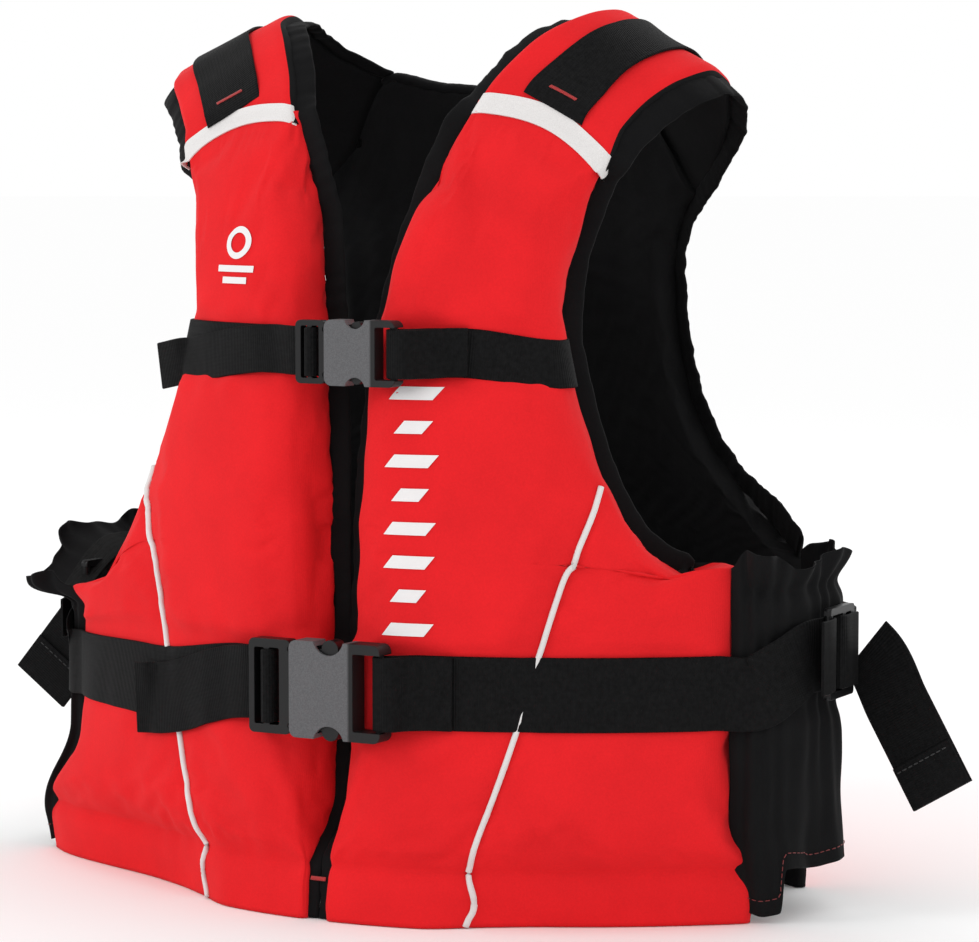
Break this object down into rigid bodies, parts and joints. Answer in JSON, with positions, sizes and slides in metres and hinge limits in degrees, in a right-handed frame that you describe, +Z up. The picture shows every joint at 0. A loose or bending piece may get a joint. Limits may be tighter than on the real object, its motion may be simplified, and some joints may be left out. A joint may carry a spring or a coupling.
{
  "type": "life jacket",
  "caption": "Foam buoyancy vest with two front panels, gathered sides, webbed shoulders, and chest and waist belts closed by side-release buckles.",
  "frame": {"origin": "middle of the bounding box, on the plane that the hems stand on", "axes": "+Z up the body, the front with its buckles faces -Y, +X is the wearer's left"},
  "size_m": [0.594, 0.2794, 0.468],
  "materials": {
    "red_cloth": "plain-woven nylon, matt",
    "black_cloth": "fine woven lining, matt",
    "black_webbing": "ribbed woven webbing",
    "elastic": "knitted elastic",
    "foam": "closed-cell foam",
    "white_piping": "corded piping",
    "reflective_tape": "reflective tape, satin",
    "grey_plastic": "fine-grained moulded plastic"
  },
  "bodies": {
    "vest": {"left_front_foam": "foam", "right_front_foam": "foam", "left_front_shell": "red_cloth", "right_front_shell": "red_cloth", "left_side_shell": "red_cloth", "right_side_shell": "red_cloth", "left_front_lining": "black_cloth", "right_front_lining": "black_cloth", "left_piping": "white_piping", "right_piping": "white_piping", "left_reflective_tape": "reflective_tape", "right_reflective_tape": "reflective_tape", "left_front_hem": "red_cloth", "right_front_hem": "red_cloth", "left_centre_binding": "black_cloth", "right_centre_binding": "black_cloth", "left_arm_binding": "black_cloth", "right_arm_binding": "black_cloth", "back_foam": "foam", "back_shell": "red_cloth", "back_lining": "black_cloth", "back_hem": "red_cloth", "back_neck_binding": "black_cloth", "left_shoulder_yoke": "red_cloth", "right_shoulder_yoke": "red_cloth", "left_shoulder_webbing": "black_webbing", "right_shoulder_webbing": "black_webbing", "left_gusset": "black_cloth", "right_gusset": "black_cloth", "left_gusset_elastic": "elastic", "right_gusset_elastic": "elastic", "chest_buckle_socket": "grey_plastic", "left_chest_webbing": "black_webbing", "right_chest_webbing": "black_webbing", "waist_buckle_socket": "grey_plastic", "left_waist_webbing": "black_webbing", "right_waist_webbing": "black_webbing", "left_anchor_webbing": "black_webbing", "right_anchor_webbing": "black_webbing"},
    "chest_plug": {"chest_buckle_plug": "grey_plastic"},
    "waist_plug": {"waist_buckle_plug": "grey_plastic"},
    "chest_upper_prong": {"chest_upper_prong": "grey_plastic"},
    "chest_lower_prong": {"chest_lower_prong": "grey_plastic"},
    "waist_upper_prong": {"waist_upper_prong": "grey_plastic"},
    "waist_lower_prong": {"waist_lower_prong": "grey_plastic"},
    "left_adjuster": {"left_adjuster": "grey_plastic"},
    "right_adjuster": {"right_adjuster": "grey_plastic"},
    "left_tail": {"left_tail": "black_webbing"},
    "right_tail": {"right_tail": "black_webbing"}
  },
  "joints": [
    {"name": "chest_release", "type": "slide", "parent": "vest", "child": "chest_plug", "axis": [-1, 0, 0], "range_m": [0, 0.04], "deforming": ["chest_upper_prong", "chest_lower_prong", "right_chest_webbing"]},
    {"name": "waist_release", "type": "slide", "parent": "vest", "child": "waist_plug", "axis": [-1, 0, 0], "range_m": [0, 0.052], "deforming": ["waist_upper_prong", "waist_lower_prong", "right_waist_webbing"]},
    {"name": "chest_squeeze", "type": "hinge", "parent": "chest_plug", "child": "chest_upper_prong", "pos_m": [0.005, -0.11987, 0.30255], "axis": [0, 1, 0], "range_deg": [0, 8], "stiffness_Nm_per_rad": 0.05},
    {"name": "chest_squeeze_lower", "type": "hinge", "parent": "chest_plug", "child": "chest_lower_prong", "pos_m": [0.005, -0.11987, 0.27945], "axis": [0, 1, 0], "range_deg": [-8, 0], "stiffness_Nm_per_rad": 0.05},
    {"name": "waist_squeeze", "type": "hinge", "parent": "waist_plug", "child": "waist_upper_prong", "pos_m": [-0.01, -0.12774, 0.13974], "axis": [0, 1, 0], "range_deg": [0, 8], "stiffness_Nm_per_rad": 0.1},
    {"name": "waist_squeeze_lower", "type": "hinge", "parent": "waist_plug", "child": "waist_lower_prong", "pos_m": [-0.01, -0.12774, 0.10026], "axis": [0, 1, 0], "range_deg": [-8, 0], "stiffness_Nm_per_rad": 0.1},
    {"name": "left_adjuster_tilt", "type": "hinge", "parent": "vest", "child": "left_adjuster", "pos_m": [0.22988, -0.00453, 0.137], "axis": [0, 0, -1], "range_deg": [0, 30], "deforming": ["left_anchor_webbing", "left_waist_webbing"]},
    {"name": "right_adjuster_tilt", "type": "hinge", "parent": "vest", "child": "right_adjuster", "pos_m": [-0.22988, -0.00453, 0.137], "axis": [0, 0, 1], "range_deg": [0, 30], "deforming": ["right_anchor_webbing", "right_waist_webbing"]},
    {"name": "left_tail_swing", "type": "hinge", "parent": "left_adjuster", "child": "left_tail", "pos_m": [0.23517, 0.03017, 0.137], "axis": [0, 0, 1], "range_deg": [-15, 25], "stiffness_Nm_per_rad": 0.004},
    {"name": "right_tail_swing", "type": "hinge", "parent": "right_adjuster", "child": "right_tail", "pos_m": [-0.23517, 0.03017, 0.137], "axis": [0, 0, -1], "range_deg": [-15, 25], "stiffness_Nm_per_rad": 0.004}
  ],
  "couplings": [
    {"joint": "chest_squeeze_lower", "follows": "chest_squeeze", "ratio": -1},
    {"joint": "waist_squeeze_lower", "follows": "waist_squeeze", "ratio": -1}
  ]
}
